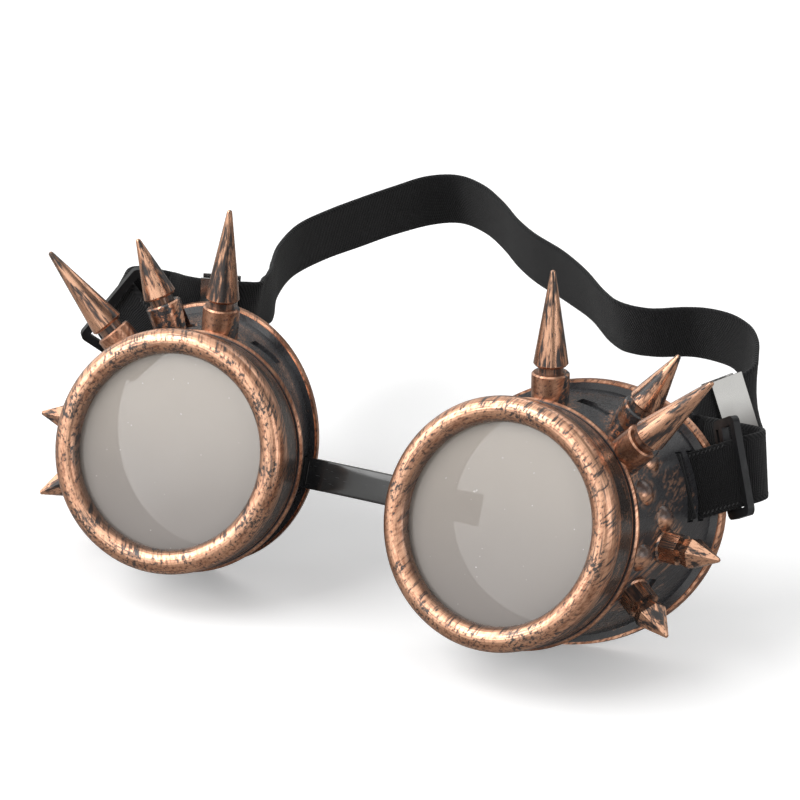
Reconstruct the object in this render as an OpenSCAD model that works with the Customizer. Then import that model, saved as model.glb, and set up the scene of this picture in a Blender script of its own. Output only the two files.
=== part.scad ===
// Spiked round goggles on an elastic head strap.
// They stand as on a table: lenses tilted up, lower edges of the face rims on z = 0,
// wearer's left at +X, front towards -Y. The origin is below the middle of the whole.

/* [Layout] */
// Distance between the two lens centres
eye_gap = 92; // [86:1:100]
// How far each cup is turned towards the other
toe_in = 4.5; // [1:0.5:7]
// How far the lenses look up as the goggles stand
stand_tilt = 25; // [18:1:32]

/* [Screw ring] */
// Clear diameter of the lens opening
view_d = 50; // [44:1:54]
// Radial width of the rolled front bead
bead_w = 6.5; // [5.5:0.5:8]
// How far the bead stands out in front of the opening plane
bead_front = 3; // [2:0.25:4.5]
// Height of the ring's threaded skirt, from the opening plane back
skirt_depth = 12.2; // [10:0.2:15]
// Wall of the skirt
skirt_wall = 2; // [1.5:0.25:2.5]
// Radial play of the ring on the cup's thread
thread_play = 0.25; // [0.15:0.05:0.4]

/* [Lens and gasket] */
// Lens thickness
lens_t = 1.8; // [1.2:0.2:2.6]
// Gasket thickness
gasket_t = 0.8; // [0.5:0.1:1.2]
// How far the lens lies behind the opening plane
lens_set = 1.2; // [0.8:0.2:2]

/* [Cup] */
// Wall of the cup
cup_wall = 2; // [1.6:0.2:2.6]
// Mean depth from the opening plane to the face rim
cup_depth = 36; // [32:1:42]
// How much deeper the temple side is than the middle
temple_drop = 10; // [6:0.5:13]
// How much deeper the top is than the middle
brow_drop = 1; // [0:0.5:3]
// Outward flare of the wall at the deep end
cup_flare = 3.5; // [2.5:0.5:5]
// Lean of the cup towards the temple, in degrees
temple_lean = 6; // [3:0.5:8]
// Lean of the cup towards the brow, in degrees
brow_lean = 8; // [5:0.5:10]
// Width of the face rim's flange
rim_w = 2.2; // [1.4:0.2:3.4]
// Thickness of the flange
rim_t = 2.4; // [1.8:0.2:3.4]
// Width of a vent window round the cup
vent_w = 9; // [6:0.5:11]
// Height of a vent window along the cup
vent_h = 3.2; // [2:0.2:4]

/* [Studs] */
// Diameter of a dome stud
stud_d = 7.2; // [6:0.2:8]
// Height of a dome stud
stud_h = 2.6; // [2:0.1:3]

/* [Cone spikes] */
// Length of a long cone
long_cone = 24.5; // [19:0.5:28]
// Length of the short cone
short_cone = 16.5; // [12:0.5:22]
// How much further up the right cup's short cone sits, in degrees
right_short_up = 6; // [0:0.5:7]
// Diameter of a cone at its base
cone_d = 8.8; // [7.5:0.2:10]
// Diameter of the boss under a cone
boss_d = 9.6; // [8.6:0.2:10.6]
// Height of the boss
boss_h = 8.5; // [6.5:0.25:10]
// Height of the neck between boss and cone
neck_h = 1.8; // [1:0.2:3]
// Diameter of the neck
neck_d = 6.4; // [5.4:0.2:7.4]
// Lean of the spikes towards the front
spike_lean = 18; // [8:1:24]

/* [Hex spikes] */
// Width across the flats
hex_w = 7.4; // [6.6:0.2:8.4]
// Height of the hexagonal collar
hex_collar = 4.6; // [3.4:0.2:6]
// Length of the hexagonal point
hex_point = 7.5; // [6:0.5:11]

/* [Screws] */
// Diameter of a screw shank
screw_d = 2.6; // [2:0.2:3]
// Diameter of a screw head
screw_head_d = 5; // [4.4:0.2:5.6]
// Play round a screw
screw_play = 0.1; // [0.05:0.05:0.2]

/* [Nose bridge] */
// Height of the bridge strip
bridge_h = 8; // [6:0.5:10]
// Thickness of the bridge strip
bridge_t = 2.4; // [2:0.2:3]
// Play of the strip in a cup's slot
bridge_play = 0.3; // [0.3:0.05:0.5]
// Depth of the strip behind the opening plane
bridge_z = 23.5; // [21:0.5:25]
// How far a tab reaches inside the cup
tab_reach = 10; // [8:0.5:12]

/* [Strap] */
// Width of the webbing
strap_w = 17; // [15:0.5:19]
// Thickness of the webbing
strap_t = 1.3; // [1:0.1:1.6]
// Play of the webbing in a slot, on each side
strap_play = 0.45; // [0.3:0.05:0.6]
// Direction of the left cup's strap slots, from the temple up, in degrees
slot_angle = 27; // [22:1:32]
// How much further up the right cup's slots sit, in degrees
right_slot_up = 12; // [0:1:16]
// Bar between a cup's two strap slots
slot_bar = 1.8; // [1.4:0.2:2.4]

/* [Slider and clip] */
// Width of a slider's bars
bar_w = 2.2; // [1.8:0.1:2.4]
// Thickness of a slider's bars
bar_t = 1.8; // [1.4:0.2:2.2]
// Length of a slider along the strap
slider_len = 12; // [11.8:0.2:13.2]
// Width of the slider's opening that the webbing passes through
slider_gap = 4.9; // [4.5:0.1:5.3]
// Sheet thickness of the folded clip
clip_t = 0.6; // [0.4:0.1:0.8]
// Length of the clip along the strap
clip_len = 10.2; // [9:0.5:12]

/* [Hidden] */
$fn = 96;
view_r = view_d / 2;
bead_r = view_r + bead_w;
skirt_r = bead_r - 0.9;
skirt_in = skirt_r - skirt_wall;
spigot_r = skirt_in - thread_play;
lens_r = skirt_in - 0.5;
seat_z = lens_set + lens_t + gasket_t;
lip_z = skirt_depth + 0.3;
lip_t = 2;
cup_r = spigot_r + 0.85;
flare_l = 33;
cap_r = 34;
slot_w = strap_t + 2 * strap_play;

// Slope of the face rim's plane across and up the cup
rim_a = temple_drop / cap_r;
rim_b = brow_drop / cap_r;
rim_n = sqrt(1 + rim_a * rim_a + rim_b * rim_b);

// Cone spikes: [angle from the temple up, depth, length]. Hex spikes: [angle, depth,
// turn from straight out, lean to the front]. Studs and vents: [angle, depth]
function cones(side) = [[91.5, 18.5, long_cone],
    [side > 0 ? 57 : 57 + right_short_up, 25.5, short_cone], [44, 17.5, long_cone]];
hexes = [[2, 28.5, -3, 9], [-21.5, 23.5, -11, 18]];
studs = [[26, 20], [-4, 20], [14, 27], [40, 26], [28, 31.5]];
vents = [[75, 25], [113, 24], [-22, 29], [-75, 24], [-113, 22.5]];

// Depth of the face rim's plane at a point of the cup
function rim_z(x, y) = cup_depth + rim_a * x + rim_b * y;

// Outer radius of the cup's wall at an angle and a depth
function wall_r(ang, z) = let (w = max(0, z - lip_z))
    cup_r + cup_flare * pow(w / flare_l, 1.5)
    + w * (sin(temple_lean) * cos(ang) + sin(brow_lean) * sin(ang));

// A point given in a cup's own axes (temple, up, back), seen from the standing goggles
function standing(side, p) = let (
        gx = side * (eye_gap / 2 + p[0] * cos(toe_in) + p[2] * sin(toe_in)),
        gy = p[2] * cos(toe_in) - p[0] * sin(toe_in),
        gz = p[1])
    [gx, gy * cos(stand_tilt) + gz * sin(stand_tilt),
     gz * cos(stand_tilt) - gy * sin(stand_tilt)];

// The same for a direction
function turned(side, d) = standing(side, d) - standing(side, [0, 0, 0]);

// Height of the lens centres: the lowest point of the face rims comes to z = 0
rim_edge = [for (a = [180:3:360], w = [flare_l * 0.4:0.25:flare_l * 1.3])
    let (r0 = cup_r + rim_w + cup_flare * pow(w / flare_l, 1.5),
         x0 = r0 * cos(a) * cos(temple_lean) + w * sin(temple_lean),
         z0 = w * cos(temple_lean) - r0 * cos(a) * sin(temple_lean),
         y = r0 * sin(a) * cos(brow_lean) + z0 * sin(brow_lean),
         z = z0 * cos(brow_lean) - r0 * sin(a) * sin(brow_lean) + lip_z)
    if (z < rim_z(x0, y)) standing(1, [x0, y, z])[2]];
lens_h = -min(rim_edge) - 0.2;

// ---- the webbing's route ----

function unit(v) = v / norm(v);
function slot_at(side) = side > 0 ? slot_angle : slot_angle + right_slot_up;
function rim_at(side, r) = rim_z(r * cos(slot_at(side)), r * sin(slot_at(side)));
function slot_z(side, k) = rim_at(side, 33.1) - rim_t - 3.9 + k * (slot_bar + slot_w) / 2;
function slot_r(side) = wall_r(slot_at(side), slot_z(side, 0));

// Unit normal of a plane path at point i
function side_of(p, i) = let (
        d = unit(p[min(i + 1, len(p) - 1)] - p[max(i - 1, 0)]))
    [-d[1], d[0]];

// Outline of a band of thickness t that follows a plane path
function ribbon(p, t) = concat(
    [for (i = [0:len(p) - 1]) p[i] + side_of(p, i) * t / 2],
    [for (i = [len(p) - 1:-1:0]) p[i] - side_of(p, i) * t / 2]);

// Points along an arc from angle a to angle b
function bend(c, r, a, b, n) =
    [for (i = [0:n]) c + r * [cos(a + (b - a) * i / n), sin(a + (b - a) * i / n)]];

// A point given outwards, across and back from the strap slots
function by_slot(side, p) = standing(side,
    [p[0] * cos(slot_at(side)) - p[1] * sin(slot_at(side)),
     p[0] * sin(slot_at(side)) + p[1] * cos(slot_at(side)), p[2]]);
function by_slot_dir(side, d) = by_slot(side, d) - by_slot(side, [0, 0, 0]);

// Section of the webbing: rolled edges as chamfers. c middle, w half width, n normal
function ring_at(c, w, n) = let (e = w - unit(w) * 0.45, h = n * strap_t / 2)
    [c - w - h * 0.4, c - e - h, c + e - h, c + w - h * 0.4,
     c + w + h * 0.4, c + e + h, c - e + h, c - w + h * 0.4];

// Depths of the two layers outside the cup, and the turn between them
function front_z(side) = slot_z(side, 1);
function back_z(side) = rim_at(side, 40.2) + 3.2 + strap_t / 2;
function turn_r(side) = (back_z(side) - front_z(side)) / 2;
function out_u(side) = slot_r(side) + 12.4;
function fold_at(side) = (slot_at(side) - 1) / 2;
function rear_l(side) = side > 0 ? 13.8 : 7;
slider_tilt = 43;

// The end that goes in at the rear slot, behind the bar and back to the front slot
function in_u(side) =
    sqrt(pow(slot_r(side) - cup_wall, 2) - pow(strap_w / 2 + strap_play, 2)) - 0.5 - strap_t / 2;
function hook_path(side) = concat(
    [[slot_r(side) + 0.3, slot_z(side, -1)]],
    bend([in_u(side) + 1.1, slot_z(side, -1) + 1.1], 1.1, 270, 180, 4),
    bend([in_u(side) + 1.1, slot_z(side, 1) - 1.1], 1.1, 180, 90, 4),
    [[slot_r(side) + 2, front_z(side)]]);
function hook_rings(side) = let (h = hook_path(side)) [for (i = [0:len(h) - 1])
    let (p = h[i], n = side_of(h, i))
    ring_at(by_slot(side, [p[0], 0, p[1]]), by_slot_dir(side, [0, strap_w / 2, 0]),
        by_slot_dir(side, [n[0], 0, n[1]]))];

// Past the slider the webbing folds over on a slanting line, so that the layer that
// comes back runs level behind the face rim
function fold_d(side) = [sin(fold_at(side)), cos(fold_at(side))];
function fold_p(side) = [cos(fold_at(side)), -sin(fold_at(side))];
function fold_rings(side) = let (d = fold_d(side), e = fold_p(side), r = turn_r(side)) concat(
    [for (i = [0:12]) let (a = 180 * i / 12, q = fold_q(side, a) + e * r * sin(a))
        ring_at(by_slot(side, [q[0], q[1], front_z(side) + r * (1 - cos(a))]),
            by_slot_dir(side, [d[0], d[1], 0] * strap_w / 2 / cos(fold_at(side))),
            by_slot_dir(side, [-e[0] * sin(a), -e[1] * sin(a), cos(a)]))],
    [ring_at(by_slot(side, rear_end(side)), by_slot_dir(side, rear_w(side) * strap_w / 2),
        by_slot_dir(side, [0, 0, -1]))]);
// The middle line creeps along the fold as it goes round
function fold_q(side, a) =
    [out_u(side), 0] + fold_d(side) * turn_r(side) * a * PI / 180 * tan(fold_at(side));
function rear_d(side) = [-cos(2 * fold_at(side)), sin(2 * fold_at(side)), 0];
function rear_w(side) = [sin(2 * fold_at(side)), cos(2 * fold_at(side)), 0];
function rear_end(side) = let (q = fold_q(side, 180))
    [q[0], q[1], back_z(side)] + rear_d(side) * rear_l(side);

// Route behind the cups, relative to the middle between the lens centres: x, y, z and
// the sideways and backward lean of the webbing, from the wearer's right to the left
run = [
    [-73, 57.8, 12, 0, 0.2], [-68.6, 58.6, 11.9, 0, 0.1], [-65.9, 59.5, 11.8, 0, 0.1],
    [-63.1, 60.45, 11.7, 0, 0.1], [-60.3, 61.4, 11.6, 0, 0.1], [-57.6, 62.3, 11.5, 0.02, 0.08],
    [-56, 66.5, 10.6, 0.2, -0.15], [-57.2, 72, 9.6, 0.25, -0.25],
    [-58.4, 77.5, 8.7, 0.2, -0.25], [-60, 83.5, 7.4, 0.1, -0.15], [-62.5, 90, 6, 0.05, -0.05],
    [-68, 104, 5, 0.1, 0], [-70, 119, 5, 0.15, 0],
    [-67, 133, 5, 0.15, -0.1], [-62, 146, 5, 0.1, -0.15], [-57, 158, 5, 0.1, -0.15],
    [-51, 169, 5, 0, -0.2], [-43, 174, 5, 0, -0.2], [-33, 170, 5, 0, -0.2],
    [-23, 161, 5, 0, -0.2], [-14, 151, 5, 0, -0.2], [-5, 143, 5, 0, -0.2],
    [7, 135, 5, 0, -0.2], [18, 126, 5, -0.1, -0.2], [28, 115, 5, -0.1, -0.2],
    [36, 108, 6, -0.1, -0.25], [44, 108, 6, 0, -0.3], [54, 113, 6, 0, -0.25],
    [65, 110.5, 7, -0.05, -0.15], [71.5, 106, 6.5, 0.05, -0.05], [75.6, 99.5, 6, 0.1, 0],
    [78.6, 92, 5.2, 0.05, 0.05], [81, 86.3, 4.4, -0.15, 0.12],
    [81.5, 81.2, 3.8, -0.4, 0.2], [80.1, 78.6, 3.65, -0.42, 0.2], [78.6, 76, 3.5, -0.42, 0.2],
    [77.1, 73.4, 3.35, -0.42, 0.2], [75.7, 70.8, 3.2, -0.41, 0.2],
    [74.2, 66.5, 2.9, -0.33, 0.25], [73.5, 62, 2.5, -0.18, 0.3], [74.6, 56.6, 2, -0.05, 0.35]];

run_p = concat([rear_pt(-1, 1)], [for (r = run) [r[0], r[1], r[2]]], [rear_pt(1, 1)]);
run_w = concat([rear_wd(-1)],
    [for (r = run) [r[3], r[4], sqrt(1 - r[3] * r[3] - r[4] * r[4])]], [rear_wd(1)]);
function rear_pt(side, s) = by_slot(side, rear_end(side) + rear_d(side) * s);
function rear_wd(side) = by_slot_dir(side, rear_w(side));

// Smooth curve through the points; past each end it goes on as the slot strap comes in
function knot(v, i, lo, hi) = i < 0 ? lo : i >= len(v) ? hi : v[i];
function smooth(a, b, c, d, t) =
    0.5 * (2 * b + (c - a) * t + (2 * a - 5 * b + 4 * c - d) * t * t
        + (3 * b - a - 3 * c + d) * t * t * t);
function along(v, i, t, lo, hi) =
    smooth(knot(v, i - 1, lo, hi), v[i], knot(v, i + 1, lo, hi), knot(v, i + 2, lo, hi), t);
seg = 3;
strap_run = concat([rear_pt(-1, 0)], [for (i = [0:len(run_p) - 2], k = [0:seg - 1])
        along(run_p, i, k / seg, rear_pt(-1, -3), rear_pt(1, -3))],
    [rear_pt(1, 1), rear_pt(1, 0)]);
strap_lean = concat([rear_wd(-1)], [for (i = [0:len(run_w) - 2], k = [0:seg - 1])
        along(run_w, i, k / seg, rear_wd(-1), rear_wd(1))], [rear_wd(1), rear_wd(1)]);
function heading(i) =
    i < 2 ? by_slot_dir(-1, rear_d(-1))
    : i > len(strap_run) - 3 ? -by_slot_dir(1, rear_d(1))
    : unit(strap_run[i + 1] - strap_run[i - 1]);
strap_rings = [for (i = [0:len(strap_run) - 1])
    let (t = heading(i), w = unit(strap_lean[i] - t * (strap_lean[i] * t)))
    ring_at(strap_run[i], w * strap_w / 2, cross(t, w))];

// Frame of a clip, on the straight stretch of the webbing next to each slider
clip_step = [4, len(run_p) - 7];
function clip_at(side) = let (
        i = clip_step[side > 0 ? 1 : 0],
        t = unit(run_p[i + 1] - run_p[i - 1]) * side,
        w = unit(run_w[i] - t * (run_w[i] * t)))
    [run_p[i], t, w, cross(t, w)];

// Outermost point of a side: the webbing's fold or the tip of the upper hex spike
hex_tip = let (h = hexes[0], r = wall_r(h[0], h[1]), l = hex_collar + hex_point + 4.3)
    [r * cos(h[0]) + l * cos(h[3]) * cos(h[0] + h[2]),
     r * sin(h[0]) + l * cos(h[3]) * sin(h[0] + h[2]), h[1] - l * sin(h[3])];
function reach(side) = max(concat([side * standing(side, hex_tip)[0]],
    [for (r = fold_rings(side)) for (p = r) side * p[0]]));
row_x = (reach(-1) - reach(1)) / 2;

// Front and back ends of the whole, which set the origin between them
front_y = standing(1, [0, -bead_r * sin(60), -bead_front * 0.7])[1];
back_y = max([for (p = strap_run) p[1]]) + strap_t / 2;
row_y = -(front_y + back_y) / 2;

// ---- placing ----

module in_row() {
    translate([row_x, row_y, lens_h]) children();
}

module at_cup(side) {
    in_row()
        mirror([side > 0 ? 1 : 0, 0, 0])
            rotate([-stand_tilt, 0, 0])
                translate([-eye_gap / 2, 0, 0])
                    rotate([0, 0, toe_in])
                        rotate([0, 0, 180])
                            rotate([90, 0, 0])
                                children();
}

// The plane of the face rim, z pointing back
module at_rim() {
    translate([0, 0, cup_depth])
        rotate([asin(rim_b / rim_n), -atan(rim_a), 0])
            children();
}

// A place on the cup's wall: z points outwards and leans to the front
module on_wall(ang, z, lean, turn = 0) {
    rotate([0, 0, ang])
        translate([wall_r(ang, z), 0, z])
            rotate([0, 0, turn])
                rotate([0, 90 + lean, 0])
                    children();
}

// The strap's section plane: x outwards, y up the strap's width, z back
module at_slot(side) {
    rotate([0, 0, slot_at(side)]) children();
}

// ---- screw ring ----

function bead_arc(n) = [for (i = [0:n]) let (a = 180 + i * 180 / n)
    [view_r + bead_w / 2 + bead_w / 2 * cos(a), 0.3 + (bead_front + 0.3) * sin(a)]];

module ring() {
    rotate_extrude()
        polygon(concat(
            [[view_r + 0.35, lens_set]],
            bead_arc(16),
            [[bead_r, 1.8], [bead_r - 0.25, 3], [bead_r - 0.9, 3.7],
             [skirt_r, 4.3], [skirt_r, skirt_depth - 0.4],
             [skirt_r - 0.4, skirt_depth], [skirt_in, skirt_depth],
             [skirt_in, lens_set]]));
}

module lens() {
    translate([0, 0, lens_set + 0.05])
        cylinder(r = lens_r, h = lens_t - 0.05);
}

module gasket() {
    translate([0, 0, lens_set + lens_t])
        difference() {
            cylinder(r = spigot_r - 0.2, h = gasket_t);
            translate([0, 0, -1])
                cylinder(r = view_r + 0.4, h = gasket_t + 2);
        }
}

// ---- cup ----

// The flared wall as a revolved outline, grown by a margin
module flared(grow) {
    n = 10;
    l = flare_l * 1.45;
    translate([0, 0, lip_z])
        rotate([-brow_lean, temple_lean, 0])
            rotate_extrude()
                polygon(concat([[0, -9], [cup_r + grow, -9]],
                    [for (i = [0:n]) let (w = l * i / n)
                        [cup_r + grow + cup_flare * pow(w / flare_l, 1.5), w]],
                    [[0, l]]));
}

module cup_solid(side) {
    // Threaded spigot and the lip that the ring stops against
    translate([0, 0, seat_z])
        cylinder(r = spigot_r, h = lip_z - seat_z + 0.5);
    translate([0, 0, lip_z])
        rotate_extrude()
            polygon([[0, 0], [bead_r - 0.5, 0], [bead_r, 0.5], [bead_r, lip_t - 0.7],
                     [bead_r - 0.7, lip_t], [0, lip_t + 0.6]]);
    difference() {
        flared(0);
        at_rim() translate([-80, -80, 0]) cube([160, 160, 90]);
        translate([-80, -80, lip_z - 60]) cube([160, 160, 60.5]);
    }
    // Flange of the face rim, with a full edge between two narrower steps
    intersection() {
        flared(rim_w * 0.72);
        at_rim() translate([-80, -80, -rim_t]) cube([160, 160, rim_t]);
    }
    intersection() {
        flared(rim_w);
        at_rim() translate([-80, -80, -rim_t * 0.78]) cube([160, 160, rim_t * 0.56]);
    }
    studs_on();
    for (c = cones(side))
        on_wall(c[0], c[1], spike_lean) boss(boss_d, boss_h);
    for (h = hexes)
        on_wall(h[0], h[1], h[3], h[2]) boss(hex_w + 1.6, 0.9);
}

module boss(d, h) {
    translate([0, 0, -4])
        cylinder(d = d, h = 4 + h - 0.4, $fn = 48);
    translate([0, 0, h - 0.4])
        cylinder(d1 = d, d2 = d - 0.8, h = 0.4, $fn = 48);
}

// Dome studs in staggered columns on the temple side
module studs_on() {
    ball = (stud_d * stud_d / 4 + stud_h * stud_h) / (2 * stud_h);
    for (s = studs)
        rotate([0, 0, s[0]])
            translate([wall_r(s[0], s[1]) + stud_h - ball, 0, s[1]])
                sphere(r = ball, $fn = 40);
}

// Everything that is taken out of the cup
module cup_hollows(side) {
    translate([0, 0, seat_z - 1])
        cylinder(r = view_r + 0.9, h = lip_z - seat_z + 1.6);
    intersection() {
        flared(-cup_wall);
        translate([-60, -60, lip_z + 0.5]) cube([120, 120, 80]);
    }
    for (k = [-1, 1])
        at_slot(side)
            translate([slot_r(side) - 8, -strap_w / 2 - strap_play,
                       slot_z(side, k) - slot_w / 2])
                cube([14, strap_w + 2 * strap_play, slot_w]);
    for (v = vents)
        rotate([0, 0, v[0]])
            translate([wall_r(v[0], v[1]) - 6, -vent_w / 2, v[1] - vent_h / 2])
                cube([12, vent_w, vent_h]);
    translate([-wall_r(180, bridge_z) - 5, -bridge_h / 2 - bridge_play,
               bridge_z - bridge_t / 2 - bridge_play])
        cube([14, bridge_h + 2 * bridge_play, bridge_t + 2 * bridge_play]);
    for (c = cones(side))
        on_wall(c[0], c[1], spike_lean) screw_way(boss_h);
    for (h = hexes)
        on_wall(h[0], h[1], h[3], h[2]) screw_way(0.9);
}

// Clearance hole and flat seat for a screw put in from the inside
module screw_way(h) {
    translate([0, 0, -3])
        cylinder(d = screw_d + 2 * screw_play, h = h + 6, $fn = 32);
    translate([0, 0, -9])
        cylinder(d = screw_head_d + 0.8, h = 8.2, $fn = 32);
}

module cup(side) {
    difference() {
        cup_solid(side);
        cup_hollows(side);
    }
}

// ---- spikes ----

module cone_spike(length) {
    tip = 0.7;
    r = cone_d / 2;
    difference() {
        rotate_extrude($fn = 64)
            polygon(concat(
                [[0, 0], [neck_d / 2, 0], [neck_d / 2, neck_h], [r - 0.5, neck_h],
                 [r, neck_h + 0.6]],
                [for (a = [10:20:90])
                    [tip * cos(a), neck_h + length - tip + tip * sin(a)]]));
        translate([0, 0, -1])
            cylinder(d = screw_d + 0.1, h = neck_h + 5, $fn = 32);
    }
}

module hex_spike() {
    r = hex_w / 2 / cos(30);
    difference() {
        union() {
            cylinder(r = r, h = hex_collar, $fn = 6);
            translate([0, 0, hex_collar])
                cylinder(r = hex_w * 0.33, h = 1.2, $fn = 32);
            translate([0, 0, hex_collar + 1.2])
                cylinder(r1 = r * 0.84, r2 = r, h = 2.2, $fn = 6);
            translate([0, 0, hex_collar + 3.4])
                cylinder(r1 = r, r2 = 0.5, h = hex_point, $fn = 6);
        }
        translate([0, 0, -1])
            cylinder(d = screw_d + 0.1, h = hex_collar + 3, $fn = 32);
    }
}

module spike(side, i) {
    c = cones(side)[i];
    at_cup(side)
        on_wall(c[0], c[1], spike_lean)
            translate([0, 0, boss_h]) cone_spike(c[2]);
}

module on_pad(i) {
    on_wall(hexes[i][0], hexes[i][1], hexes[i][3], hexes[i][2])
        translate([0, 0, 0.9]) children();
}

module screw(grip) {
    translate([0, 0, -0.8])
        cylinder(d = screw_d, h = 0.8 + grip, $fn = 32);
    translate([0, 0, -2.2])
        difference() {
            cylinder(d1 = screw_head_d - 1.2, d2 = screw_head_d, h = 1.4, $fn = 32);
            for (a = [0, 90])
                rotate([0, 0, a])
                    translate([-1.3, -0.3, -0.1]) cube([2.6, 0.6, 0.8]);
        }
}

module screws(side) {
    for (c = cones(side))
        on_wall(c[0], c[1], spike_lean) screw(boss_h + 4.5);
    for (h = hexes)
        on_wall(h[0], h[1], h[3], h[2]) screw(0.9 + hex_collar + 1);
}

// ---- nose bridge ----

// Where the strip bends, in a cup's own axes
bend_x = -wall_r(180, bridge_z) - rim_w - 4.2;
tab_in = -wall_r(180, bridge_z) + tab_reach;

module bridge_strip() {
    // Straight strip through the cup's slot, with low ribs and a thick end
    translate([bend_x, -bridge_h / 2, bridge_z - bridge_t / 2])
        cube([tab_in - bend_x, bridge_h, bridge_t]);
    for (i = [0:3])
        translate([bend_x + 5 + 2.4 * i, 0, bridge_z])
            for (k = [-1, 1])
                translate([0, 0, k * bridge_t / 2])
                    rotate([90, 0, 0])
                        cylinder(r = 0.22, h = bridge_h - 2, center = true, $fn = 16);
    translate([tab_in, 0, bridge_z])
        rotate([90, 0, 0])
            cylinder(r = bridge_t * 0.85, h = bridge_h, center = true, $fn = 32);
}

// Flexible middle: a strip that bows between the two tabs
module bridge_middle() {
    e = [for (s = [-1, 1]) [s * (eye_gap / 2 + bend_x * cos(toe_in) + bridge_z * sin(toe_in)),
                            bridge_z * cos(toe_in) - bend_x * sin(toe_in)]];
    bow = e[1][0] * tan(toe_in) / 2;
    n = 12;
    d = [cos(toe_in), -sin(toe_in)] * 0.6;
    mid = concat([e[0], e[0] + [d[0], -d[1]]],
        [for (i = [1:n - 1]) let (s = 2 * i / n - 1)
            [e[1][0] * s, e[1][1] + bow * (1 - s * s)]],
        [e[1] - d, e[1]]);
    in_row()
        rotate([-stand_tilt, 0, 0])
            translate([0, 0, -bridge_h / 2])
                linear_extrude(bridge_h)
                    polygon(ribbon(mid, bridge_t));
}

// ---- webbing ----

module slot_strap(side) {
    band(concat(hook_rings(side), fold_rings(side)), side > 0);
}

// A closed band through rings of points. Rings that run round the other way, as on the
// mirrored side, need their faces turned
module band(rings, turn = false) {
    k = len(rings[0]);
    n = len(rings);
    faces = concat(
        [[for (j = [0:k - 1]) j]],
        [[for (j = [k - 1:-1:0]) (n - 1) * k + j]],
        [for (i = [0:n - 2], j = [0:k - 1]) let (m = (j + 1) % k)
            [i * k + j, (i + 1) * k + j, (i + 1) * k + m]],
        [for (i = [0:n - 2], j = [0:k - 1]) let (m = (j + 1) % k)
            [i * k + j, (i + 1) * k + m, i * k + m]]);
    polyhedron(
        points = [for (r = rings) for (p = r) p],
        faces = turn ? [for (f = faces) [for (i = [len(f) - 1:-1:0]) f[i]]] : faces);
}

// ---- slider and clip ----

// Slider frame in its own plane: x along the strap, y across it
module slider(side) {
    at_slot(side)
        translate([out_u(side) + (side > 0 ? 2.6 : 3), side > 0 ? 1.3 : 0.6, front_z(side) - 2.4])
            rotate([0, 0, -0.4 * fold_at(side)])
                rotate([0, slider_tilt, 0])
                    translate([-slider_len + bar_w / 2, 0, 0])
                        slider_frame();
}

module slider_frame() {
    l = slider_len;
    open = strap_w + 3.8;
    w = open + 2 * bar_w;
    stop = l - bar_w - slider_gap;
    inner = 1.5;
    linear_extrude(bar_t, center = true)
        difference() {
            translate([l / 2, 0]) rounded(l, w, 2);
            translate([inner, bar_w - w / 2])
                square([stop - inner - bar_w, open]);
            translate([stop, bar_w - w / 2])
                square([slider_gap, open]);
        }
}

module rounded(l, w, r) {
    square([l - 2 * r, w], center = true);
    square([l, w - 2 * r], center = true);
    for (i = [-1, 1], j = [-1, 1])
        translate([i * (l / 2 - r), j * (w / 2 - r)]) circle(r = r, $fn = 32);
}

// Sheet clip folded round the webbing's lower edge, open at the upper one
module clip(side) {
    gap = strap_t + 2;
    path = concat(
        [[strap_w / 2 + 0.8, gap / 2 + clip_t / 2]],
        bend([-strap_w / 2 + 0.4, 0], gap / 2 + clip_t / 2, 90, 270, 10),
        [[strap_w / 2 + 0.8, -gap / 2 - clip_t / 2]]);
    a = clip_at(side);
    in_row()
        multmatrix([for (i = [0:2]) [a[2][i], a[3][i], a[1][i], a[0][i]]])
            linear_extrude(clip_len, center = true)
                polygon(ribbon(path, clip_t));
}

// ---- nodes ----

copper = [0.62, 0.36, 0.24];
black = [0.12, 0.12, 0.13];
webbing = [0.18, 0.18, 0.19];
smoke = [0.66, 0.63, 0.6];
steel = [0.82, 0.82, 0.84];

module nose_bridge() { color(black) bridge_middle(); }
module head_strap() { color(webbing) in_row() band(strap_rings); }
module left_bridge_tab() { color(black) at_cup(1) bridge_strip(); }
module left_cup() { color(black) at_cup(1) cup(1); }
module left_tall_spike() { color(copper) spike(1, 0); }
module left_short_spike() { color(copper) spike(1, 1); }
module left_outer_spike() { color(copper) spike(1, 2); }
module left_upper_hex_spike() { color(copper) at_cup(1) on_pad(0) hex_spike(); }
module left_lower_hex_spike() { color(copper) at_cup(1) on_pad(1) hex_spike(); }
module left_spike_screws() { color(steel) at_cup(1) screws(1); }
module left_slot_strap() { color(webbing) in_row() slot_strap(1); }
module left_slider() { color(black) at_cup(1) slider(1); }
module left_clip() { color(steel) clip(1); }
module left_lens() { color(smoke) at_cup(1) lens(); }
module left_gasket() { color(black) at_cup(1) gasket(); }
module left_ring() { color(copper) at_cup(1) ring(); }
module right_bridge_tab() { color(black) at_cup(-1) bridge_strip(); }
module right_cup() { color(black) at_cup(-1) cup(-1); }
module right_tall_spike() { color(copper) spike(-1, 0); }
module right_short_spike() { color(copper) spike(-1, 1); }
module right_outer_spike() { color(copper) spike(-1, 2); }
module right_upper_hex_spike() { color(copper) at_cup(-1) on_pad(0) hex_spike(); }
module right_lower_hex_spike() { color(copper) at_cup(-1) on_pad(1) hex_spike(); }
module right_spike_screws() { color(steel) at_cup(-1) screws(-1); }
module right_slot_strap() { color(webbing) in_row() slot_strap(-1); }
module right_slider() { color(black) at_cup(-1) slider(-1); }
module right_clip() { color(steel) clip(-1); }
module right_lens() { color(smoke) at_cup(-1) lens(); }
module right_gasket() { color(black) at_cup(-1) gasket(); }
module right_ring() { color(copper) at_cup(-1) ring(); }

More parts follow.
